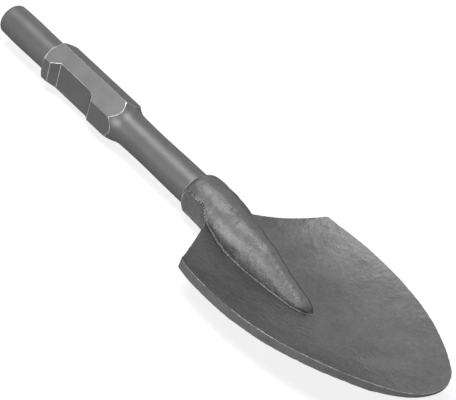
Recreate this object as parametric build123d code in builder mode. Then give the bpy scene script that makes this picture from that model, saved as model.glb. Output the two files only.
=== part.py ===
from build123d import *
from math import asin, cos, degrees, radians, sin, sqrt
import os

os.makedirs("parts", exist_ok=True)

# Clay spade chisel: one forging, drawn along +X with the cutting tip ahead and
# the hollow side of the blade up. x = 0 is the tail end face of the hexagon.
# The finished piece is laid down at the end, as it rests on a floor.

# shank
SPIGOT_D = 24.0
SPIGOT_LEN = 56.4
SPIGOT_ROUND = 2.6
GROOVE_LEN = 2.6
GROOVE_DEPTH = 0.7
HEX_FLATS = 30.0
HEX_ROLL = 7.0
HEX_CONE_X = 1.5
HEX_CONE_R = 15.6
ENVELOPE_R = 17.6
SHAFT_D = 26.1
RUNOUT_R = 20.0
RUNOUT_END = 88.0

# notch milled in the flat that faces -Y
NOTCH_FLOOR = 10.6
NOTCH_START = 7.8
NOTCH_RAMP_END = 14.4
NOTCH_FLOOR_END = 47.0
NOTCH_END_R = 9.5
NOTCH_REACH = 20.0

# neck block: it grows out of the shaft with a rounded shoulder
NECK_START = 158.6
NECK_ROUND_LEN = 8.6
NECK_CENTRE_R = 10.8
NECK_ROUND_R = 17.4

# one row per station of neck and rib: x; half axes and centre height of the
# crown ellipse; height where crown meets flank; half width and depth of the
# lower corner; depth on the centre plane
STATIONS = (
    (152.0, 17.4, 17.4, 0.0, 6.9, 15.2, 7.3, 15.9),
    (160.0, 17.4, 17.4, 0.0, 7.2, 15.2, 7.6, 16.0),
    (168.0, 17.4, 17.4, 0.0, 7.4, 15.2, 7.8, 16.2),
    (176.0, 17.4, 17.4, 0.0, 7.3, 15.3, 8.2, 16.4),
    (182.0, 17.4, 17.4, 0.0, 6.4, 15.6, 8.6, 16.6),
    (186.0, 17.5, 17.3, -0.2, 2.6, 16.0, 9.0, 16.7),
    (190.0, 17.6, 17.3, -0.9, -1.4, 16.4, 9.6, 16.9),
    (196.0, 17.8, 17.5, -1.6, -1.8, 16.9, 10.4, 17.0),
    (203.0, 17.9, 18.4, -4.1, -4.9, 17.2, 11.8, 17.0),
    (211.0, 17.5, 19.3, -6.6, -7.6, 17.1, 13.0, 16.9),
    (220.0, 16.2, 20.0, -8.6, -9.6, 16.0, 14.0, 16.8),
    (230.0, 14.5, 19.8, -9.9, -10.9, 14.4, 14.5, 16.6),
    (240.0, 12.9, 17.9, -10.4, -11.4, 12.8, 14.6, 16.4),
    (252.0, 11.3, 14.1, -10.6, -11.6, 11.2, 14.6, 16.2),
    (264.0, 9.6, 10.2, -10.5, -11.5, 9.5, 14.2, 15.6),
    (274.0, 7.9, 7.0, -10.0, -11.0, 7.8, 13.8, 15.0),
    (281.0, 5.2, 4.4, -9.6, -10.6, 5.1, 13.4, 14.4),
    (285.5, 1.2, 0.8, -10.0, -10.6, 1.1, 13.0, 14.0),
)

# blade, seen from above
SHOULDER_X = 189.5
SHOULDER_Y = 18.0
CORNER_X = 220.5
CORNER_R = 3.6
SIDE_R = 191.0
SIDE_REACH = 74.9
TIP_X = 395.3
TIP_R = 38.0

# hollow of the blade: a trough section carried along a line dished at both ends
TROUGH_R = 161.0
TROUGH_Z = -11.1
TROUGH_HALF = 95.0
HOLLOW_TOP = 60.0
BACK_DEPTH = 48.0
BLOCK_TOP = 28.0
BLOCK_FOOT = -26.0
DISH_TAIL_R = 126.0
DISH_TAIL_END = 240.0
DISH_TAIL_ANGLE = 34.0
DISH_TIP_START = 249.4
DISH_TIP_R = 322.7
DISH_TIP_ANGLE = 14.1
DISH_TIP_RUN = 110.0
SHEET = 6.7
BACK_TIP_START = 249.4
BACK_TIP_R = 318.0
BACK_TIP_ANGLE = 14.6
BEVEL_CENTRE_X = 300.0
BEVEL_INNER = (50.0, -3.5)
BEVEL_OUTER = (110.0, 18.1)
BEVEL_SECTOR = 100.0

# attitude on the floor
LIE_PITCH = 0.14

rolled_y = (0, cos(radians(HEX_ROLL)), sin(radians(HEX_ROLL)))
rolled_z = (0, -sin(radians(HEX_ROLL)), cos(radians(HEX_ROLL)))

# hexagon, trimmed by a turned envelope: a short cone at the tail, a hollow
# radius at the other end that runs down to the shaft
hex_corner_run = sqrt(RUNOUT_R ** 2 - (RUNOUT_R + SHAFT_D / 2 - ENVELOPE_R) ** 2)
with BuildPart() as shank:
    with BuildSketch(Plane(origin=(0, 0, 0), x_dir=rolled_y, z_dir=(1, 0, 0))):
        RegularPolygon(HEX_FLATS / 2, 6, major_radius=False, rotation=30)
    extrude(amount=RUNOUT_END)
    with BuildSketch(Plane.XY):
        with BuildLine():
            Polyline(
                (RUNOUT_END, SHAFT_D / 2),
                (RUNOUT_END, 0),
                (0, 0),
                (0, HEX_CONE_R),
                (HEX_CONE_X, ENVELOPE_R),
                (RUNOUT_END - hex_corner_run, ENVELOPE_R),
            )
            RadiusArc(
                (RUNOUT_END - hex_corner_run, ENVELOPE_R),
                (RUNOUT_END, SHAFT_D / 2),
                -RUNOUT_R,
            )
        make_face()
    revolve(axis=Axis.X, mode=Mode.INTERSECT)
    with BuildSketch(Plane.XY):
        with BuildLine():
            Line((-SPIGOT_LEN, 0), (-SPIGOT_LEN, SPIGOT_D / 2 - SPIGOT_ROUND))
            RadiusArc(
                (-SPIGOT_LEN, SPIGOT_D / 2 - SPIGOT_ROUND),
                (-SPIGOT_LEN + SPIGOT_ROUND, SPIGOT_D / 2),
                SPIGOT_ROUND,
            )
            Line((-SPIGOT_LEN + SPIGOT_ROUND, SPIGOT_D / 2), (-GROOVE_LEN, SPIGOT_D / 2))
            ThreePointArc(
                (-GROOVE_LEN, SPIGOT_D / 2),
                (-GROOVE_LEN / 2, SPIGOT_D / 2 - GROOVE_DEPTH),
                (0, SPIGOT_D / 2),
            )
            Polyline((0, SPIGOT_D / 2), (1, SPIGOT_D / 2), (1, 0), (-SPIGOT_LEN, 0))
        make_face()
    revolve(axis=Axis.X)
    with BuildSketch(Plane.YZ.offset(RUNOUT_END - 1)):
        Circle(SHAFT_D / 2)
    extrude(amount=NECK_START + NECK_ROUND_LEN - RUNOUT_END)
    with BuildSketch(Plane(origin=(0, 0, 0), x_dir=(1, 0, 0), z_dir=rolled_z)):
        with BuildLine():
            rise = HEX_FLATS / 2 - NOTCH_FLOOR
            end_run = sqrt(NOTCH_END_R ** 2 - (NOTCH_END_R - rise) ** 2)
            Polyline(
                (NOTCH_FLOOR_END + end_run, -HEX_FLATS / 2),
                (NOTCH_FLOOR_END + end_run, -HEX_FLATS),
                (NOTCH_START, -HEX_FLATS),
                (NOTCH_START, -HEX_FLATS / 2),
                (NOTCH_RAMP_END, -NOTCH_FLOOR),
                (NOTCH_FLOOR_END, -NOTCH_FLOOR),
            )
            RadiusArc(
                (NOTCH_FLOOR_END, -NOTCH_FLOOR),
                (NOTCH_FLOOR_END + end_run, -HEX_FLATS / 2),
                NOTCH_END_R,
            )
        make_face()
    extrude(amount=NOTCH_REACH, both=True, mode=Mode.SUBTRACT)

# neck and rib: flat trimmed flanks under a round crown
with BuildPart() as rib:
    for x, axis_y, axis_z, middle, flank_z, foot_y, foot_z, depth in STATIONS:
        start = degrees(asin((flank_z - middle) / axis_z))
        with BuildSketch(Plane.YZ.offset(x)):
            with BuildLine():
                crown = EllipticalCenterArc(
                    (0, middle), axis_y, axis_z, start_angle=start, arc_size=180 - 2 * start
                )
                Line(crown @ 1, (-foot_y, -foot_z))
                ThreePointArc((-foot_y, -foot_z), (0, -depth), (foot_y, -foot_z))
                Line((foot_y, -foot_z), crown @ 0)
            make_face()
    loft()
    with BuildSketch(Plane.XY):
        with BuildLine():
            EllipticalCenterArc(
                (NECK_START + NECK_ROUND_LEN, NECK_CENTRE_R),
                NECK_ROUND_LEN,
                NECK_ROUND_R - NECK_CENTRE_R,
                start_angle=90,
                arc_size=90,
            )
            Polyline(
                (NECK_START, NECK_CENTRE_R),
                (NECK_START, 0),
                (TIP_X, 0),
                (TIP_X, 2 * NECK_ROUND_R),
                (NECK_START + NECK_ROUND_LEN, 2 * NECK_ROUND_R),
                (NECK_START + NECK_ROUND_LEN, NECK_ROUND_R),
            )
        make_face()
    revolve(axis=Axis.X, mode=Mode.INTERSECT)

# plan of the blade: straight shoulders, long side arcs, a round nose
nose_x = TIP_X - TIP_R
side_y = SIDE_REACH - SIDE_R
side_x = nose_x - sqrt((SIDE_R - TIP_R) ** 2 - side_y ** 2)
corner_y = side_y + sqrt(SIDE_R ** 2 - (side_x - CORNER_X) ** 2)
meet_x = nose_x + TIP_R * (nose_x - side_x) / (SIDE_R - TIP_R)
meet_y = -TIP_R * side_y / (SIDE_R - TIP_R)

with BuildLine(Plane.XZ) as hollow_line:
    CenterArc(
        (DISH_TAIL_END, TROUGH_Z + DISH_TAIL_R),
        DISH_TAIL_R,
        270 - DISH_TAIL_ANGLE,
        DISH_TAIL_ANGLE,
    )
    Line((DISH_TAIL_END, TROUGH_Z), (DISH_TIP_START, TROUGH_Z))
    CenterArc((DISH_TIP_START, TROUGH_Z + DISH_TIP_R), DISH_TIP_R, 270, DISH_TIP_ANGLE)
    PolarLine(hollow_line.line @ 1, DISH_TIP_RUN, DISH_TIP_ANGLE)

with BuildLine(Plane.XZ) as back_line:
    CenterArc(
        (DISH_TAIL_END, TROUGH_Z + DISH_TAIL_R),
        DISH_TAIL_R + SHEET,
        270 - DISH_TAIL_ANGLE,
        DISH_TAIL_ANGLE,
    )
    Line((DISH_TAIL_END, TROUGH_Z - SHEET), (BACK_TIP_START, TROUGH_Z - SHEET))
    CenterArc((BACK_TIP_START, TROUGH_Z - SHEET + BACK_TIP_R), BACK_TIP_R, 270, BACK_TIP_ANGLE)
    PolarLine(back_line.line @ 1, DISH_TIP_RUN, BACK_TIP_ANGLE)

with BuildPart() as blade:
    with BuildSketch(Plane.XY.offset(BLOCK_FOOT)):
        with BuildLine():
            Polyline((SHOULDER_X, 0), (SHOULDER_X, SHOULDER_Y), (CORNER_X, corner_y))
            ThreePointArc((CORNER_X, corner_y), (side_x, SIDE_REACH), (meet_x, meet_y))
            RadiusArc((meet_x, meet_y), (TIP_X, 0), TIP_R)
            mirror(about=Plane.XZ)
        make_face()
    extrude(amount=BLOCK_TOP - BLOCK_FOOT)
    uprights = blade.edges().filter_by(Axis.Z).sort_by(Axis.Y)
    fillet([uprights[0], uprights[-1]], CORNER_R)
    hollow_sag = TROUGH_R - sqrt(TROUGH_R ** 2 - TROUGH_HALF ** 2)
    with BuildSketch(Plane(hollow_line.line @ 0, x_dir=(0, 1, 0), z_dir=hollow_line.line % 0)):
        with BuildLine():
            ThreePointArc((-TROUGH_HALF, hollow_sag), (0, 0), (TROUGH_HALF, hollow_sag))
            Polyline(
                (TROUGH_HALF, hollow_sag),
                (TROUGH_HALF, HOLLOW_TOP),
                (-TROUGH_HALF, HOLLOW_TOP),
                (-TROUGH_HALF, hollow_sag),
            )
        make_face()
    sweep(path=hollow_line.line, mode=Mode.SUBTRACT)
    back_r = TROUGH_R + SHEET
    back_sag = back_r - sqrt(back_r ** 2 - TROUGH_HALF ** 2)
    with BuildSketch(Plane(back_line.line @ 0, x_dir=(0, 1, 0), z_dir=back_line.line % 0)):
        with BuildLine():
            ThreePointArc((-TROUGH_HALF, back_sag), (0, 0), (TROUGH_HALF, back_sag))
            Polyline(
                (TROUGH_HALF, back_sag),
                (TROUGH_HALF, -BACK_DEPTH),
                (-TROUGH_HALF, -BACK_DEPTH),
                (-TROUGH_HALF, back_sag),
            )
        make_face()
    sweep(path=back_line.line, mode=Mode.SUBTRACT)
    first = radians(-BEVEL_SECTOR / 2)
    bevel_plane = Plane(
        (BEVEL_CENTRE_X, 0, 0),
        x_dir=(cos(first), sin(first), 0),
        z_dir=(sin(first), -cos(first), 0),
    )
    with BuildSketch(bevel_plane):
        Polygon(
            BEVEL_INNER,
            BEVEL_OUTER,
            (BEVEL_OUTER[0], BLOCK_FOOT),
            (BEVEL_INNER[0], BLOCK_FOOT),
            align=None,
        )
    revolve(
        axis=Axis((BEVEL_CENTRE_X, 0, 0), (0, 0, 1)),
        revolution_arc=BEVEL_SECTOR,
        mode=Mode.SUBTRACT,
    )

with BuildPart() as forging:
    add(shank.part)
    add(rib.part)
    add(blade.part)

lying = Rot(0, LIE_PITCH, 0) * forging.part
box = lying.bounding_box()
lying = Pos(-box.center().X, -box.center().Y, -box.min.Z) * lying

with BuildPart() as spade_chisel:
    add(lying)
spade_chisel.part.label = "spade_chisel"
export_step(spade_chisel.part, "parts/spade_chisel.step")
print("box", spade_chisel.part.bounding_box())
print("mass centre", spade_chisel.part.center(CenterOf.MASS))
print("solids", len(spade_chisel.part.solids()), "volume", spade_chisel.part.volume)
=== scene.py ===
from math import cos, radians, sin

import bmesh
import bpy
import numpy as np
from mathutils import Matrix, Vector, kdtree


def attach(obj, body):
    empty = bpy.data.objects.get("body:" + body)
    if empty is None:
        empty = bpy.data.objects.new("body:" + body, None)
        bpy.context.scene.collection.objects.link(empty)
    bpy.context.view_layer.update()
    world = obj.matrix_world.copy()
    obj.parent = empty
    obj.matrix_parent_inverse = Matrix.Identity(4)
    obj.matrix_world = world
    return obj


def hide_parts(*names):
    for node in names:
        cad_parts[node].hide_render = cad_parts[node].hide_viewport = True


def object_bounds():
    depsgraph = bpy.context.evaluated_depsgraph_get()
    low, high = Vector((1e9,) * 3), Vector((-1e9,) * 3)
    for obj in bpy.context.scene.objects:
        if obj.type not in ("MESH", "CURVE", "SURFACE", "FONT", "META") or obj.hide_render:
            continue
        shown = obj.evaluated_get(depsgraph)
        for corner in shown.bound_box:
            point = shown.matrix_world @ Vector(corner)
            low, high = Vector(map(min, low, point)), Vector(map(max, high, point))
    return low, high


# Clay spade chisel, a steel forging lying on a white floor: hexagonal shank with a spigot, round shaft,
# forged neck and a dished spade blade. Metres, +X to the cutting tip, +Z up, the floor at z = 0.

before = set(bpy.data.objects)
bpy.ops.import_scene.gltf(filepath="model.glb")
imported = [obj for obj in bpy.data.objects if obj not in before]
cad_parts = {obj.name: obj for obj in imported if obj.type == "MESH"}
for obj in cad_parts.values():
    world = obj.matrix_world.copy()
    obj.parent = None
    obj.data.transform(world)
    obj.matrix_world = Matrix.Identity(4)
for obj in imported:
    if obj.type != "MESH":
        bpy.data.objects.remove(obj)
cadLow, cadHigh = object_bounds()
mm = 0.001
print("frame loaded")


def addNode(tree, kind, props, inputs):
    node = tree.nodes.new(kind)
    for name, value in props.items():
        setattr(node, name, value)
    for key, value in inputs.items():
        if isinstance(value, bpy.types.NodeSocket):
            tree.links.new(value, node.inputs[key])
        else:
            node.inputs[key].default_value = value
    return node


def fromHex(code):
    parts = [int(code[i:i + 2], 16) / 255 for i in (1, 3, 5)]
    return tuple(c / 12.92 if c <= 0.04045 else ((c + 0.055) / 1.055) ** 2.4 for c in parts) + (1.0,)


def newMaterial(name):
    material = bpy.data.materials.new(name)
    material.use_nodes = True
    material.node_tree.nodes.clear()
    return material


# Steel of the shank.
# Carbon tool steel, machined and then blasted with fine grit: an even satin grey with a faint grain.
blastedSteelLook = {
    "colour": "#636363",
    "darkColour": "#595959",
    "metallic": 0.6,
    "roughness": 0.45,
    "edgeTint": 0.15,     # the oxide film takes most of the glare off at grazing angles
    "wearHighlightColour": "#bcbcbc", "wearHighlightPatch": 5.0,    # pale bare metal on the edges with a painted highlight along them, in patches of so many mm
    "grainSize": 1.2,     # mm; real blasting grit leaves 0.2 mm pits, drawn coarser so that they show
    "grainDepth": 0.05,   # mm
    "cloudSize": 16.0,    # mm, soft patches in the oxide
}


def makeBlastedSteel(look):
    material = newMaterial("blastedSteel")
    tree = material.node_tree
    place = addNode(tree, "ShaderNodeTexCoord", {}, {})
    cloud = addNode(tree, "ShaderNodeTexNoise", {}, {
        "Vector": place.outputs["Object"], "Scale": 1000 / look["cloudSize"], "Detail": 4.0, "Roughness": 0.6})
    grain = addNode(tree, "ShaderNodeTexNoise", {}, {
        "Vector": place.outputs["Object"], "Scale": 1000 / look["grainSize"], "Detail": 3.0, "Roughness": 0.7})
    both = addNode(tree, "ShaderNodeMath", {"operation": "MULTIPLY_ADD"}, {
        0: grain.outputs["Fac"], 1: 0.35, 2: cloud.outputs["Fac"]})
    tone = addNode(tree, "ShaderNodeMapRange", {}, {
        "Value": both.outputs[0], "From Min": 0.45, "From Max": 0.9, "To Min": 0.0, "To Max": 1.0})
    blasted = addNode(tree, "ShaderNodeMix", {"data_type": "RGBA"}, {
        "Factor": tone.outputs["Result"], "A": fromHex(look["darkColour"]), "B": fromHex(look["colour"])})
    # the edge mark: pale bare metal worn through, plus a painted highlight along every sharp edge
    wearAndHighlight = addNode(tree, "ShaderNodeAttribute", {"attribute_name": "wearAndHighlight"}, {})
    patchy = addNode(tree, "ShaderNodeTexNoise", {}, {
        "Vector": place.outputs["Object"], "Scale": 1000 / look["wearHighlightPatch"], "Detail": 2.0})
    patchyWearHighlight = addNode(tree, "ShaderNodeMapRange", {}, {
        "Value": patchy.outputs["Fac"], "From Min": 0.35, "From Max": 0.6, "To Min": 0.35, "To Max": 1.0})
    wearHighlightShare = addNode(tree, "ShaderNodeMath", {"operation": "MULTIPLY"}, {0: wearAndHighlight.outputs["Fac"], 1: patchyWearHighlight.outputs["Result"]})
    colour = addNode(tree, "ShaderNodeMix", {"data_type": "RGBA"}, {
        "Factor": wearHighlightShare.outputs[0], "A": blasted.outputs["Result"], "B": fromHex(look["wearHighlightColour"])})
    bump = addNode(tree, "ShaderNodeBump", {}, {
        "Height": grain.outputs["Fac"], "Distance": look["grainDepth"] * mm, "Strength": 1.0})
    steel = addNode(tree, "ShaderNodeBsdfPrincipled", {}, {
        "Base Color": colour.outputs["Result"], "Metallic": look["metallic"], "Roughness": look["roughness"],
        "Specular Tint": (look["edgeTint"],) * 3 + (1.0,), "Normal": bump.outputs["Normal"]})
    addNode(tree, "ShaderNodeOutputMaterial", {}, {"Surface": steel.outputs[0]})
    return material


# Steel of the forged neck and blade.
# The same steel as it leaves the drop hammer and a light blast: darker mill scale, mottled and pitted.
forgedSteelLook = {
    "colour": "#666666",
    "scaleColour": "#555555",
    "chipColour": "#b4b4b4",
    "metallic": 0.6,
    "roughness": 0.45,
    "edgeTint": 0.15,
    # pale bare metal and a painted highlight along the edges, in patches of so many mm
    "wearHighlightColour": "#b0b0b0", "wearHighlightPatch": 5.0,
    "cloudSize": 22.0,    # mm, patches where the scale is thicker
    "mottleSize": 2.6,    # mm, the skin of the scale
    "mottleDepth": 0.20,  # mm
    "grainSize": 1.3,     # mm; drawn coarser than the real 0.3 mm so that it shows
    "grainDepth": 0.12,   # mm
    "chipSize": 7.0,      # mm between places where a scale chip has come off
}


def makeForgedSteel(look):
    material = newMaterial("forgedScaleSteel")
    tree = material.node_tree
    place = addNode(tree, "ShaderNodeTexCoord", {}, {})
    cloud = addNode(tree, "ShaderNodeTexNoise", {}, {
        "Vector": place.outputs["Object"], "Scale": 1000 / look["cloudSize"], "Detail": 3.0, "Roughness": 0.55})
    mottle = addNode(tree, "ShaderNodeTexNoise", {}, {
        "Vector": place.outputs["Object"], "Scale": 1000 / look["mottleSize"], "Detail": 3.0, "Roughness": 0.6})
    grain = addNode(tree, "ShaderNodeTexNoise", {}, {
        "Vector": place.outputs["Object"], "Scale": 1000 / look["grainSize"], "Detail": 2.0, "Roughness": 0.7})
    chipCell = addNode(tree, "ShaderNodeTexVoronoi", {"feature": "F1"}, {
        "Vector": place.outputs["Object"], "Scale": 1000 / look["chipSize"], "Randomness": 1.0})
    chip = addNode(tree, "ShaderNodeMapRange", {"interpolation_type": "SMOOTHSTEP"}, {
        "Value": chipCell.outputs["Distance"], "From Min": 0.05, "From Max": 0.02, "To Min": 0.0, "To Max": 1.0})
    both = addNode(tree, "ShaderNodeMath", {"operation": "MULTIPLY_ADD"}, {
        0: mottle.outputs["Fac"], 1: 0.8, 2: cloud.outputs["Fac"]})
    tone = addNode(tree, "ShaderNodeMapRange", {}, {
        "Value": both.outputs[0], "From Min": 0.6, "From Max": 1.15, "To Min": 0.0, "To Max": 1.0})
    skin = addNode(tree, "ShaderNodeMix", {"data_type": "RGBA"}, {
        "Factor": tone.outputs["Result"], "A": fromHex(look["scaleColour"]), "B": fromHex(look["colour"])})
    chipped = addNode(tree, "ShaderNodeMix", {"data_type": "RGBA"}, {
        "Factor": chip.outputs["Result"], "A": skin.outputs["Result"], "B": fromHex(look["chipColour"])})
    # the edge mark: pale bare metal worn through, plus a painted highlight along every sharp edge
    wearAndHighlight = addNode(tree, "ShaderNodeAttribute", {"attribute_name": "wearAndHighlight"}, {})
    patchy = addNode(tree, "ShaderNodeTexNoise", {}, {
        "Vector": place.outputs["Object"], "Scale": 1000 / look["wearHighlightPatch"], "Detail": 2.0})
    patchyWearHighlight = addNode(tree, "ShaderNodeMapRange", {}, {
        "Value": patchy.outputs["Fac"], "From Min": 0.35, "From Max": 0.6, "To Min": 0.2, "To Max": 1.0})
    wearHighlightShare = addNode(tree, "ShaderNodeMath", {"operation": "MULTIPLY"}, {0: wearAndHighlight.outputs["Fac"], 1: patchyWearHighlight.outputs["Result"]})
    colour = addNode(tree, "ShaderNodeMix", {"data_type": "RGBA"}, {
        "Factor": wearHighlightShare.outputs[0], "A": chipped.outputs["Result"], "B": fromHex(look["wearHighlightColour"])})
    mottleBump = addNode(tree, "ShaderNodeBump", {}, {
        "Height": mottle.outputs["Fac"], "Distance": look["mottleDepth"] * mm, "Strength": 1.0})
    bump = addNode(tree, "ShaderNodeBump", {}, {
        "Height": grain.outputs["Fac"], "Distance": look["grainDepth"] * mm, "Strength": 1.0,
        "Normal": mottleBump.outputs["Normal"]})
    steel = addNode(tree, "ShaderNodeBsdfPrincipled", {}, {
        "Base Color": colour.outputs["Result"], "Metallic": look["metallic"], "Roughness": look["roughness"],
        "Specular Tint": (look["edgeTint"],) * 3 + (1.0,), "Normal": bump.outputs["Normal"]})
    addNode(tree, "ShaderNodeOutputMaterial", {}, {"Surface": steel.outputs[0]})
    return material


blastedSteel = makeBlastedSteel(blastedSteelLook)
forgedSteel = makeForgedSteel(forgedSteelLook)
print("steel materials made")


# The forging.
forging = {
    "shankFold": 18.0,     # degrees between two faces from which their edge stays an edge
    "forgedFold": 24.0,    # the same on the neck and the blade, where the rib's own facets reach 22 degrees
    "shankStep": 6.0,      # longest mesh edge in mm on the smooth shank
    "forgedStep": 2.2,     # on the neck and the blade
    "edgeStep": 0.95,      # beside an edge
    "neckStart": -10.4,    # x in mm where the neck starts
    "edgeWear": 2,         # rounds of smoothing that wear the edges
    "valleyReach": 2.0,    # mm on each side of the hollow edge along the rib
    "valleyRounds": 3,     # rounds of smoothing that fill it
    "ribReach": 22.0,      # mm from the middle within which the foot of the rib is looked for
    "wallEase": 1.1,       # mm that the sides of the rib lean in, between its foot and its ridge
    "waveDepth": 0.22, "waveSize": 24.0,     # mm, uneven die faces
    "pitDepth": 0.22, "pitSize": 6.0,        # mm, pressed-in scale
    "flakeDepth": 0.10, "flakeSize": 4.0,    # mm, edges of scale that has come off
    "lapDepth": 0.35, "lapWidth": 0.6,       # mm, the lap that runs along the foot of the rib
    "beadHeight": 0.30, "beadPlace": 2.6,    # mm, the low broken bead beside it on the blade
    "lipHeight": 0.35, "lipPlace": 0.9,      # mm, the rolled lip where the neck starts
    "seed": 3.0,
}


def edgeTable(triangles):
    # each triangle's three edges as rows of a list of single edges
    halves = np.concatenate([triangles[:, [0, 1]], triangles[:, [1, 2]], triangles[:, [2, 0]]])
    edges, where = np.unique(np.sort(halves, axis=1), axis=0, return_inverse=True)
    return edges, where.reshape(3, -1).T


def unit(vectors):
    return vectors / np.maximum(np.linalg.norm(vectors, axis=-1, keepdims=True), 1e-12)


def splitOnce(points, triangles, normals, folds, isLong):
    # halves the long edges; each new point is lifted onto the round surface that the corner normals tell of
    edges, sides = edgeTable(triangles)
    cut = isLong(points[edges], folds[edges])
    number = np.full(len(edges), -1)
    number[cut] = len(points) + np.arange(cut.sum())
    nextCorner = [1, 2, 0]
    lift, lean, middle = [np.zeros((len(triangles), 3, 3)) for _ in range(3)]
    for side in range(3):
        start, end = points[triangles[:, side]], points[triangles[:, nextCorner[side]]]
        na, nb = normals[:, side], normals[:, nextCorner[side]]
        run = end - start
        lift[:, side] = ((run * nb).sum(1, keepdims=True) * nb - (run * na).sum(1, keepdims=True) * na) / 8
        lean[:, side] = unit(na + nb)
        turn = 2 * (run * (na + nb)).sum(1, keepdims=True) / np.maximum((run * run).sum(1, keepdims=True), 1e-18)
        middle[:, side] = unit(na + nb - turn * run)
    order = np.argsort(sides.ravel(), kind="stable")
    first, second = order[0::2], order[1::2]      # a closed mesh has each edge in two triangles
    liftA, liftB = lift.reshape(-1, 3)[first], lift.reshape(-1, 3)[second]
    leanA, leanB = lean.reshape(-1, 3)[first], lean.reshape(-1, 3)[second]
    across = (leanA * leanB).sum(1, keepdims=True)
    highA, highB = (liftA * leanA).sum(1, keepdims=True), (liftB * leanB).sum(1, keepdims=True)
    free = np.maximum(1 - across ** 2, 1e-3)
    atFold = ((highA - across * highB) * leanA + (highB - across * highA) * leanB) / free
    shift = np.where(across > 0.95, (liftA + liftB) / 2, atFold)
    length = np.linalg.norm(points[edges[:, 0]] - points[edges[:, 1]], axis=1, keepdims=True)
    shift *= np.minimum(1.0, 0.12 * length / np.maximum(np.linalg.norm(shift, axis=1, keepdims=True), 1e-12))
    added = points[edges].mean(1) + shift
    isFold = folds[edges].all(1) & (across[:, 0] < np.cos(radians(10)))
    points = np.concatenate([points, added[cut]])
    folds = np.concatenate([folds, isFold[cut]])
    madeTriangles, madeNormals = [], []
    cutSides = cut[sides]
    for turn in range(3):
        a, b, c = turn, (turn + 1) % 3, (turn + 2) % 3
        v, m = triangles, number[sides]
        one = cutSides[:, a] & ~cutSides[:, b] & ~cutSides[:, c]
        for corners, cornerNormals in (
                ((v[:, a], m[:, a], v[:, c]), (normals[:, a], middle[:, a], normals[:, c])),
                ((m[:, a], v[:, b], v[:, c]), (middle[:, a], normals[:, b], normals[:, c]))):
            madeTriangles.append(np.stack(corners, 1)[one])
            madeNormals.append(np.stack(cornerNormals, 1)[one])
        two = cutSides[:, a] & cutSides[:, b] & ~cutSides[:, c]
        straight = np.linalg.norm(points[v[:, a]] - points[m[:, b]], axis=1)
        other = np.linalg.norm(points[m[:, a]] - points[v[:, c]], axis=1)
        for pick, corners, cornerNormals in (
                (two, (m[:, a], v[:, b], m[:, b]), (middle[:, a], normals[:, b], middle[:, b])),
                (two & (straight <= other), (v[:, a], m[:, a], m[:, b]), (normals[:, a], middle[:, a], middle[:, b])),
                (two & (straight <= other), (v[:, a], m[:, b], v[:, c]), (normals[:, a], middle[:, b], normals[:, c])),
                (two & (straight > other), (v[:, a], m[:, a], v[:, c]), (normals[:, a], middle[:, a], normals[:, c])),
                (two & (straight > other), (m[:, a], m[:, b], v[:, c]), (middle[:, a], middle[:, b], normals[:, c]))):
            madeTriangles.append(np.stack(corners, 1)[pick])
            madeNormals.append(np.stack(cornerNormals, 1)[pick])
    v, m, every, none = triangles, number[sides], cutSides.all(1), ~cutSides.any(1)
    for pick, corners, cornerNormals in (
            (none, (v[:, 0], v[:, 1], v[:, 2]), (normals[:, 0], normals[:, 1], normals[:, 2])),
            (every, (v[:, 0], m[:, 0], m[:, 2]), (normals[:, 0], middle[:, 0], middle[:, 2])),
            (every, (m[:, 0], v[:, 1], m[:, 1]), (middle[:, 0], normals[:, 1], middle[:, 1])),
            (every, (m[:, 2], m[:, 1], v[:, 2]), (middle[:, 2], middle[:, 1], normals[:, 2])),
            (every, (m[:, 0], m[:, 1], m[:, 2]), (middle[:, 0], middle[:, 1], middle[:, 2]))):
        madeTriangles.append(np.stack(corners, 1)[pick])
        madeNormals.append(np.stack(cornerNormals, 1)[pick])
    return points, np.concatenate(madeTriangles), np.concatenate(madeNormals), folds, int(cut.sum())


def meshArrays(mesh):
    points = np.zeros(len(mesh.vertices) * 3, np.float32)
    mesh.vertices.foreach_get("co", points)
    triangles = np.zeros(len(mesh.polygons) * 3, np.int32)
    mesh.loops.foreach_get("vertex_index", triangles)
    normals = np.zeros(len(mesh.loops) * 3, np.float32)
    mesh.corner_normals.foreach_get("vector", normals)
    return points.reshape(-1, 3).astype(float), triangles.reshape(-1, 3).astype(int), \
        normals.reshape(-1, 3, 3).astype(float)


def mergedMesh(node, size):
    work = bmesh.new()
    work.from_mesh(node.data)
    bmesh.ops.remove_doubles(work, verts=work.verts, dist=2e-6)
    bmesh.ops.triangulate(work, faces=work.faces)
    openEdges = sum(1 for e in work.edges if len(e.link_faces) != 2)
    for edge in work.edges:
        isForged = min(v.co.x for v in edge.verts) / mm > size["neckStart"] + 4
        fold = size["forgedFold"] if isForged else size["shankFold"]
        edge.smooth = edge.calc_face_angle(0.0) < radians(fold)
    mesh = bpy.data.meshes.new("mergedForging")
    work.to_mesh(mesh)
    work.free()
    for name in [a.name for a in mesh.attributes if a.name == "custom_normal"]:
        mesh.attributes.remove(mesh.attributes[name])
    mesh.polygons.foreach_set("use_smooth", [True] * len(mesh.polygons))
    print("merged", len(mesh.polygons), "faces,", openEdges, "open edges")
    return mesh


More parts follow.
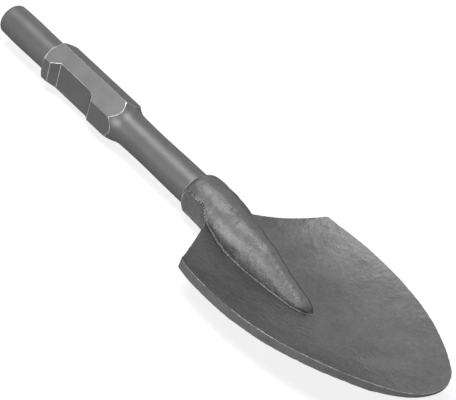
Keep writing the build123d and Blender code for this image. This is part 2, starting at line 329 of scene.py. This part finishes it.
def makeForging(size, node):
    mesh = mergedMesh(node, size)
    points, triangles, normals = meshArrays(mesh)
    folds = np.zeros(len(points), bool)
    for edge in mesh.edges:
        if edge.use_edge_sharp:
            folds[list(edge.vertices)] = True

    def isLong(ends, endFolds):
        length = np.linalg.norm(ends[:, 0] - ends[:, 1], axis=1) / mm
        forged = ends[:, :, 0].max(1) / mm > size["neckStart"] - 1
        step = np.where(forged, size["forgedStep"], size["shankStep"])
        return length > np.where(endFolds.any(1), size["edgeStep"], step)

    for _ in range(12):
        points, triangles, normals, folds, cuts = splitOnce(points, triangles, normals, folds, isLong)
        if cuts == 0:
            break
    forgedFaces = int((points[triangles[:, 0], 0] / mm > size["neckStart"]).sum())
    print("shank faces", len(triangles) - forgedFaces, "forged faces", forgedFaces)
    points = np.clip(points, cadLow, cadHigh)
    fine = bpy.data.meshes.new("spadeForging")
    fine.from_pydata(points, [], triangles)
    fine.validate()
    print("forging has", len(fine.polygons), "faces")
    return fine, points, triangles, folds


def markVertices(target, size, points, triangles, folds):
    # weights for the smoothing, and distances in mm that the skin is shaped by
    mesh = target.data
    edges, sides = edgeTable(triangles)
    faceNormals = unit(np.cross(points[triangles[:, 1]] - points[triangles[:, 0]],
                                points[triangles[:, 2]] - points[triangles[:, 0]]))
    order = np.repeat(np.arange(len(triangles)), 3)[np.argsort(sides.ravel(), kind="stable")]
    left, right = order[0::2], order[1::2]
    bend = (faceNormals[left] * faceNormals[right]).sum(1)
    centres = points[triangles].mean(1)
    hollow = ((centres[right] - centres[left]) * faceNormals[left]).sum(1) > 0
    middle = points[edges].mean(1)
    valley = hollow & (bend < np.cos(radians(12))) & (middle[:, 0] > 0.02)
    valley &= np.abs(middle[:, 1]) / mm < size["ribReach"]
    stations = np.arange(20.0, 120.0, 4.0) * mm
    nearStation = [valley & (np.abs(middle[:, 0] - x) < 3 * mm) for x in stations]
    halfWidth = np.array([np.abs(middle[near, 1]).max() if near.any() else 0.0 for near in nearStation])
    footHeight = np.array([middle[near, 2].min() if near.any() else 0.0 for near in nearStation])
    known = halfWidth > 0
    stations, halfWidth, footHeight = stations[known], halfWidth[known], footHeight[known]
    valley &= np.abs(middle[:, 1]) > np.interp(middle[:, 0], stations, halfWidth) - 3 * mm
    tree = kdtree.KDTree(int(valley.sum()))
    for number, place in enumerate(middle[valley]):
        tree.insert(place, number)
    tree.balance()
    nearest = [tree.find(place) for place in points]
    reach = np.array([found[2] for found in nearest]) / mm
    foot = np.array([found[0][1] for found in nearest])
    outside = np.where(np.abs(points[:, 1]) > np.abs(foot), 1.0, -1.0)
    # the lean of the rib's sides: none at the foot and the ridge, most halfway up
    ridge = np.array([points[(np.abs(points[:, 0] - x) < 1.5 * mm) & (np.abs(points[:, 1]) < 3 * mm), 2].max()
                      for x in stations])
    low = np.interp(points[:, 0], stations, footHeight)
    tall = np.interp(points[:, 0], stations, ridge) - low
    share = np.clip((points[:, 2] - low) / np.maximum(tall, mm), 0, 1)
    within = np.abs(points[:, 1]) < np.interp(points[:, 0], stations, halfWidth) + 0.5 * mm
    fade = np.clip((points[:, 0] - 0.018) / 0.02, 0, 1) * np.clip((0.108 - points[:, 0]) / 0.02, 0, 1)
    ribWall = np.where(within, 4 * share * (1 - share), 0.0) * fade
    valleyWeight = np.clip(1.4 * (1 - reach / size["valleyReach"]), 0, 1)
    edgeWeight = np.where(folds, 1.0, 0.0) * (valleyWeight <= 0)
    for name, weights in (("edges", edgeWeight), ("valley", valleyWeight)):
        group = target.vertex_groups.new(name=name)
        steps = np.round(weights, 1)
        for value in np.unique(steps[steps > 0]):
            group.add(np.nonzero(steps == value)[0].tolist(), float(value), "REPLACE")
    along = points[:, 0] / mm - size["neckStart"]
    fields = {
        "forged": np.clip(along / 1.5, 0, 1),
        "fromRib": np.where(reach < 12, reach * outside, 99.0),
        "fromNeckStart": along,
        "ribWall": ribWall,
        # 1 on every sharp edge, which the steel paints pale, partly as bare metal and partly as a painted highlight
        "wearAndHighlight": np.where(edgeWeight > 0, 1.0, 0.0),
    }
    for name, values in fields.items():
        attribute = mesh.attributes.new(name, "FLOAT", "POINT")
        attribute.data.foreach_set("value", values.astype(np.float32))


def addInput(tree, name, value, kind="NodeSocketFloat"):
    socket = tree.interface.new_socket(name=name, in_out="INPUT", socket_type=kind)
    if kind == "NodeSocketFloat":
        socket.default_value = value
    return socket


def makeSkinTree():
    # pushes the forged surface inwards by uneven waves, pits and flakes, all sizes in mm
    tree = bpy.data.node_groups.new("forgeSkin", "GeometryNodeTree")
    addInput(tree, "Geometry", None, "NodeSocketGeometry")
    for name in ("Wave Depth", "Wave Size", "Pit Depth", "Pit Size", "Flake Depth", "Flake Size",
                 "Wall Ease", "Lap Depth", "Lap Width", "Bead Height", "Bead Place", "Lip Height", "Lip Place", "Seed"):
        addInput(tree, name, 1.0)
    addInput(tree, "Shank Steel", None, "NodeSocketMaterial")
    addInput(tree, "Forged Steel", None, "NodeSocketMaterial")
    tree.interface.new_socket(name="Geometry", in_out="OUTPUT", socket_type="NodeSocketGeometry")
    given = addNode(tree, "NodeGroupInput", {}, {})
    inputs = given.outputs
    place = addNode(tree, "GeometryNodeInputPosition", {}, {})
    forged = addNode(tree, "GeometryNodeInputNamedAttribute", {"data_type": "FLOAT"}, {"Name": "forged"})

    def depthOf(sizeName, depthName, low, high, detail):
        scale = addNode(tree, "ShaderNodeMath", {"operation": "DIVIDE"}, {0: 1000.0, 1: inputs[sizeName]})
        noise = addNode(tree, "ShaderNodeTexNoise", {"noise_dimensions": "4D"}, {
            "Vector": place.outputs[0], "W": inputs["Seed"], "Scale": scale.outputs[0], "Detail": detail})
        share = addNode(tree, "ShaderNodeMapRange", {"interpolation_type": "SMOOTHSTEP"}, {
            "Value": noise.outputs["Fac"], "From Min": low, "From Max": high})
        return addNode(tree, "ShaderNodeMath", {"operation": "MULTIPLY"}, {
            0: share.outputs["Result"], 1: inputs[depthName]})

    def ridgeAt(field, place, width, height):
        # a rounded ridge, or with a negative height a groove, at a given distance
        distance = addNode(tree, "GeometryNodeInputNamedAttribute", {"data_type": "FLOAT"}, {"Name": field})
        away = addNode(tree, "ShaderNodeMath", {"operation": "SUBTRACT"}, {
            0: distance.outputs["Attribute"], 1: place})
        share = addNode(tree, "ShaderNodeMath", {"operation": "DIVIDE"}, {0: away.outputs[0], 1: width})
        square = addNode(tree, "ShaderNodeMath", {"operation": "MULTIPLY"}, {0: share.outputs[0], 1: share.outputs[0]})
        minus = addNode(tree, "ShaderNodeMath", {"operation": "MULTIPLY"}, {0: square.outputs[0], 1: -1.0})
        bell = addNode(tree, "ShaderNodeMath", {"operation": "EXPONENT"}, {0: minus.outputs[0]})
        return addNode(tree, "ShaderNodeMath", {"operation": "MULTIPLY"}, {0: bell.outputs[0], 1: height})

    lap = ridgeAt("fromRib", 0.3, inputs["Lap Width"], inputs["Lap Depth"])
    bead = ridgeAt("fromRib", inputs["Bead Place"], 1.1, inputs["Bead Height"])
    lip = ridgeAt("fromNeckStart", inputs["Lip Place"], 0.8, inputs["Lip Height"])
    broken = addNode(tree, "ShaderNodeTexNoise", {"noise_dimensions": "4D"}, {
        "Vector": place.outputs[0], "W": inputs["Seed"], "Scale": 220.0, "Detail": 2.0})
    shareOf = addNode(tree, "ShaderNodeMapRange", {}, {"Value": broken.outputs["Fac"], "From Min": 0.42, "From Max": 0.6})
    brokenBead = addNode(tree, "ShaderNodeMath", {"operation": "MULTIPLY"}, {
        0: bead.outputs[0], 1: shareOf.outputs["Result"]})
    wall = addNode(tree, "GeometryNodeInputNamedAttribute", {"data_type": "FLOAT"}, {"Name": "ribWall"})
    eased = addNode(tree, "ShaderNodeMath", {"operation": "MULTIPLY"}, {0: wall.outputs["Attribute"], 1: inputs["Wall Ease"]})
    raised = addNode(tree, "ShaderNodeMath", {"operation": "ADD"}, {0: brokenBead.outputs[0], 1: lip.outputs[0]})
    scored = addNode(tree, "ShaderNodeMath", {"operation": "SUBTRACT"}, {0: lap.outputs[0], 1: raised.outputs[0]})
    wave = depthOf("Wave Size", "Wave Depth", 0.25, 0.75, 1.0)
    pit = depthOf("Pit Size", "Pit Depth", 0.56, 0.72, 1.0)
    flake = depthOf("Flake Size", "Flake Depth", 0.44, 0.58, 2.0)
    sumOne = addNode(tree, "ShaderNodeMath", {"operation": "ADD"}, {0: wave.outputs[0], 1: pit.outputs[0]})
    total = addNode(tree, "ShaderNodeMath", {"operation": "ADD"}, {0: sumOne.outputs[0], 1: flake.outputs[0]})
    drawn = addNode(tree, "ShaderNodeMath", {"operation": "ADD"}, {0: scored.outputs[0], 1: eased.outputs[0]})
    shaped = addNode(tree, "ShaderNodeMath", {"operation": "ADD"}, {0: total.outputs[0], 1: drawn.outputs[0]})
    masked = addNode(tree, "ShaderNodeMath", {"operation": "MULTIPLY"}, {
        0: shaped.outputs[0], 1: forged.outputs["Attribute"]})
    inward = addNode(tree, "ShaderNodeMath", {"operation": "MULTIPLY"}, {0: masked.outputs[0], 1: -mm})
    normal = addNode(tree, "GeometryNodeInputNormal", {}, {})
    offset = addNode(tree, "ShaderNodeVectorMath", {"operation": "SCALE"}, {
        0: normal.outputs[0], "Scale": inward.outputs[0]})
    moved = addNode(tree, "GeometryNodeSetPosition", {}, {
        "Geometry": inputs["Geometry"], "Offset": offset.outputs[0]})
    whole = addNode(tree, "GeometryNodeRealizeInstances", {}, {0: moved.outputs[0]})
    allShank = addNode(tree, "GeometryNodeSetMaterial", {}, {
        "Geometry": whole.outputs[0], "Material": inputs["Shank Steel"]})
    isForged = addNode(tree, "FunctionNodeCompare", {"operation": "GREATER_THAN"}, {
        0: forged.outputs["Attribute"], 1: 0.5})
    done = addNode(tree, "GeometryNodeSetMaterial", {}, {
        "Geometry": allShank.outputs[0], "Selection": isForged.outputs[0], "Material": inputs["Forged Steel"]})
    addNode(tree, "NodeGroupOutput", {}, {0: done.outputs[0]})
    return tree


def setInputs(modifier, values):
    named = {item.name: item.identifier for item in modifier.node_group.interface.items_tree
             if item.item_type == "SOCKET" and item.in_out == "INPUT"}
    for name, value in values.items():
        modifier[named[name]] = value


def bakeModifiers(target):
    # the evaluated result becomes the object's own plain mesh
    depsgraph = bpy.context.evaluated_depsgraph_get()
    mesh = bpy.data.meshes.new_from_object(target.evaluated_get(depsgraph), depsgraph=depsgraph)
    target.modifiers.clear()
    old = target.data
    target.data = mesh
    mesh.name = old.name
    bpy.data.meshes.remove(old)


fineMesh, finePoints, fineTriangles, fineFolds = makeForging(forging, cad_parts["spade_chisel"])
spadeForging = bpy.data.objects.new("spadeForging", fineMesh)
bpy.context.scene.collection.objects.link(spadeForging)
markVertices(spadeForging, forging, finePoints, fineTriangles, fineFolds)
for groupName, rounds in (("edges", forging["edgeWear"]), ("valley", forging["valleyRounds"])):
    smooth = spadeForging.modifiers.new(groupName, "SMOOTH")
    smooth.vertex_group = groupName
    smooth.factor = 0.5
    smooth.iterations = rounds
skin = spadeForging.modifiers.new("forgeSkin", "NODES")
skin.node_group = makeSkinTree()
setInputs(skin, {
    "Wave Depth": forging["waveDepth"], "Wave Size": forging["waveSize"],
    "Pit Depth": forging["pitDepth"], "Pit Size": forging["pitSize"],
    "Flake Depth": forging["flakeDepth"], "Flake Size": forging["flakeSize"], "Seed": forging["seed"],
    "Wall Ease": forging["wallEase"], "Lap Depth": forging["lapDepth"], "Lap Width": forging["lapWidth"],
    "Bead Height": forging["beadHeight"], "Bead Place": forging["beadPlace"],
    "Lip Height": forging["lipHeight"], "Lip Place": forging["lipPlace"],
    "Shank Steel": blastedSteel, "Forged Steel": forgedSteel})
bakeModifiers(spadeForging)
skinPoints = meshArrays(spadeForging.data)[0]
spadeForging.data.vertices.foreach_set("co", np.clip(skinPoints, cadLow, cadHigh).astype(np.float32).ravel())
spadeForging.data.polygons.foreach_set("use_smooth", [True] * len(spadeForging.data.polygons))
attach(spadeForging, "root")
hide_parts("spade_chisel")
print("forging done,", len(spadeForging.data.polygons), "faces")


# Flash left where the two die halves met, sheared off in small teeth along both edges of the neck.
neckFlash = {
    "path": ((-7.9, -14.8, 24.2), (-5.6, -15.0, 25.1), (-1.9, -15.6, 25.3), (1.5, -16.0, 25.3), (6.0, -15.8, 25.2),
             (11.4, -16.0, 24.7), (13.2, -16.4, 23.9), (14.8, -16.8, 22.6), (16.8, -17.3, 20.1),
             (18.6, -17.5, 17.6)),   # mm, on the side of the notch
    "spacing": 2.1,        # mm between teeth
    "toothLength": 2.6, "toothWidth": 1.2, "toothDepth": 1.3,     # mm
    "uneven": 0.45,        # share by which the teeth differ in size
}


def makeToothTree():
    tree = bpy.data.node_groups.new("flashTeeth", "GeometryNodeTree")
    addInput(tree, "Geometry", None, "NodeSocketGeometry")
    for name in ("Spacing", "Length", "Width", "Depth", "Uneven", "Seed"):
        addInput(tree, name, 1.0)
    addInput(tree, "Steel", None, "NodeSocketMaterial")
    tree.interface.new_socket(name="Geometry", in_out="OUTPUT", socket_type="NodeSocketGeometry")
    inputs = addNode(tree, "NodeGroupInput", {}, {}).outputs
    points = addNode(tree, "GeometryNodeCurveToPoints", {"mode": "LENGTH"}, {
        "Curve": inputs["Geometry"], "Length": inputs["Spacing"]})
    tooth = addNode(tree, "GeometryNodeMeshIcoSphere", {}, {"Radius": 0.5 * mm, "Subdivisions": 2})
    seed = addNode(tree, "FunctionNodeFloatToInt", {}, {0: inputs["Seed"]})
    least = addNode(tree, "ShaderNodeMath", {"operation": "SUBTRACT"}, {0: 1.0, 1: inputs["Uneven"]})
    most = addNode(tree, "ShaderNodeMath", {"operation": "ADD"}, {0: 1.0, 1: inputs["Uneven"]})
    vary = addNode(tree, "FunctionNodeRandomValue", {"data_type": "FLOAT"}, {
        2: least.outputs[0], 3: most.outputs[0], "Seed": seed.outputs[0]})
    size = addNode(tree, "ShaderNodeCombineXYZ", {}, {
        0: inputs["Width"], 1: inputs["Depth"], 2: inputs["Length"]})
    scale = addNode(tree, "ShaderNodeVectorMath", {"operation": "SCALE"}, {
        0: size.outputs[0], "Scale": vary.outputs[1]})
    turn = addNode(tree, "FunctionNodeRandomValue", {"data_type": "FLOAT_VECTOR"}, {
        0: (-0.15, 0.25, -0.2), 1: (0.15, 0.75, 0.2), "Seed": seed.outputs[0]})
    teeth = addNode(tree, "GeometryNodeInstanceOnPoints", {}, {
        "Points": points.outputs["Points"], "Instance": tooth.outputs["Mesh"],
        "Rotation": turn.outputs[0], "Scale": scale.outputs[0]})
    whole = addNode(tree, "GeometryNodeRealizeInstances", {}, {0: teeth.outputs[0]})
    done = addNode(tree, "GeometryNodeSetMaterial", {}, {"Geometry": whole.outputs[0], "Material": inputs["Steel"]})
    addNode(tree, "NodeGroupOutput", {}, {0: done.outputs[0]})
    return tree


def makeFlash(size, name, side, seed, tree):
    curve = bpy.data.curves.new(name, "CURVE")
    curve.dimensions = "3D"
    spline = curve.splines.new("POLY")
    spline.points.add(len(size["path"]) - 1)
    for point, (x, y, z) in zip(spline.points, size["path"]):
        point.co = (x * mm, side * y * mm, z * mm, 1.0)
    line = bpy.data.objects.new(name + "Path", curve)
    bpy.context.scene.collection.objects.link(line)
    teeth = line.modifiers.new("flashTeeth", "NODES")
    teeth.node_group = tree
    setInputs(teeth, {
        "Spacing": size["spacing"] * mm, "Length": size["toothLength"], "Width": size["toothWidth"],
        "Depth": size["toothDepth"], "Uneven": size["uneven"], "Seed": seed, "Steel": forgedSteel})
    depsgraph = bpy.context.evaluated_depsgraph_get()
    mesh = bpy.data.meshes.new_from_object(line.evaluated_get(depsgraph), depsgraph=depsgraph)
    bpy.data.objects.remove(line)
    flash = bpy.data.objects.new(name, mesh)
    bpy.context.scene.collection.objects.link(flash)
    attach(flash, "root")
    return flash


toothTree = makeToothTree()
for flashName, side, seed in (("neckFlashNotchSide", 1, 4.0), ("neckFlashFarSide", -1, 9.0)):
    made = makeFlash(neckFlash, flashName, side, seed, toothTree)
    print(flashName, len(made.data.polygons), "faces")


# White studio floor; it shows pure white where nothing shades it.
floorLook = {"size": 8.0, "colour": "#8f8f8f", "lift": 0.8}


def makeFloor(look):
    material = newMaterial("whiteFloor")
    tree = material.node_tree
    rays = addNode(tree, "ShaderNodeLightPath", {}, {})
    seen = addNode(tree, "ShaderNodeMath", {"operation": "MAXIMUM"}, {
        0: rays.outputs["Is Camera Ray"], 1: rays.outputs["Is Glossy Ray"]})
    seenAll = addNode(tree, "ShaderNodeMath", {"operation": "MAXIMUM"}, {
        0: seen.outputs[0], 1: rays.outputs["Is Transmission Ray"]})
    glow = addNode(tree, "ShaderNodeMath", {"operation": "MULTIPLY"}, {0: seenAll.outputs[0], 1: look["lift"]})
    paint = addNode(tree, "ShaderNodeBsdfDiffuse", {}, {"Color": fromHex(look["colour"])})
    white = addNode(tree, "ShaderNodeEmission", {}, {"Color": (1, 1, 1, 1), "Strength": glow.outputs[0]})
    both = addNode(tree, "ShaderNodeAddShader", {}, {0: paint.outputs[0], 1: white.outputs[0]})
    addNode(tree, "ShaderNodeOutputMaterial", {}, {"Surface": both.outputs[0]})
    half = look["size"] / 2
    mesh = bpy.data.meshes.new("floor")
    mesh.from_pydata([(-half, -half, 0), (half, -half, 0), (half, half, 0), (-half, half, 0)], [], [(0, 1, 2, 3)])
    mesh.materials.append(material)
    floor = bpy.data.objects.new("floor", mesh)
    bpy.context.scene.collection.objects.link(floor)
    return floor


makeFloor(floorLook)

# Four large soft lamps, aimed at the middle of the chisel, in a room that reflects white.
studio = {
    "room": 0.02,
    "lampDistance": 1.8,
    "lampSize": 1.1,
    "lamps": {             # direction from +X towards +Y and height above the floor in degrees, power in watts
        "topLamp": {"around": 216, "height": 68, "power": 29.0},
        "sideLamp": {"around": 270, "height": 12, "power": 32.4},
        "backLamp": {"around": 135, "height": 12, "power": 5.3},
        "farLamp": {"around": 90, "height": 40, "power": 4.6},
    },
}


def makeStudio(setting):
    world = bpy.data.worlds.new("studio")
    bpy.context.scene.world = world
    world.use_nodes = True
    tree = world.node_tree
    tree.nodes.clear()
    rays = addNode(tree, "ShaderNodeLightPath", {}, {})
    seen = addNode(tree, "ShaderNodeMath", {"operation": "MAXIMUM"}, {
        0: rays.outputs["Is Camera Ray"], 1: rays.outputs["Is Glossy Ray"]})
    seenAll = addNode(tree, "ShaderNodeMath", {"operation": "MAXIMUM"}, {
        0: seen.outputs[0], 1: rays.outputs["Is Transmission Ray"]})
    room = addNode(tree, "ShaderNodeBackground", {}, {"Color": (1, 1, 1, 1), "Strength": setting["room"]})
    white = addNode(tree, "ShaderNodeBackground", {}, {"Color": (1, 1, 1, 1), "Strength": 1.0})
    mixed = addNode(tree, "ShaderNodeMixShader", {}, {0: seenAll.outputs[0], 1: room.outputs[0], 2: white.outputs[0]})
    addNode(tree, "ShaderNodeOutputWorld", {}, {"Surface": mixed.outputs[0]})
    for name, lamp in setting["lamps"].items():
        data = bpy.data.lights.new(name, "AREA")
        data.shape, data.size, data.energy = "DISK", setting["lampSize"], lamp["power"]
        made = bpy.data.objects.new(name, data)
        around, height = radians(lamp["around"]), radians(lamp["height"])
        direction = Vector((cos(around) * cos(height), sin(around) * cos(height), sin(height)))
        made.location = direction * setting["lampDistance"]
        made.rotation_euler = direction.to_track_quat("Z", "Y").to_euler()
        bpy.context.scene.collection.objects.link(made)


makeStudio(studio)

# The photograph's viewpoint: high on the right of the cutting end, with a long lens.
viewpoint = {"place": (0.78963, -1.07068, 0.86854), "turn": (55.6628, -18.2429, 47.8633), "lens": 181.12}
cameraData = bpy.data.cameras.new("camera")
cameraData.lens, cameraData.sensor_width = viewpoint["lens"], 36.0
cameraData.clip_start, cameraData.clip_end = 0.05, 50.0
camera = bpy.data.objects.new("camera", cameraData)
camera.location = viewpoint["place"]
camera.rotation_euler = [radians(a) for a in viewpoint["turn"]]
bpy.context.scene.collection.objects.link(camera)
bpy.context.scene.camera = camera
bpy.context.scene.view_settings.view_transform = "Standard"
print("studio and camera done")
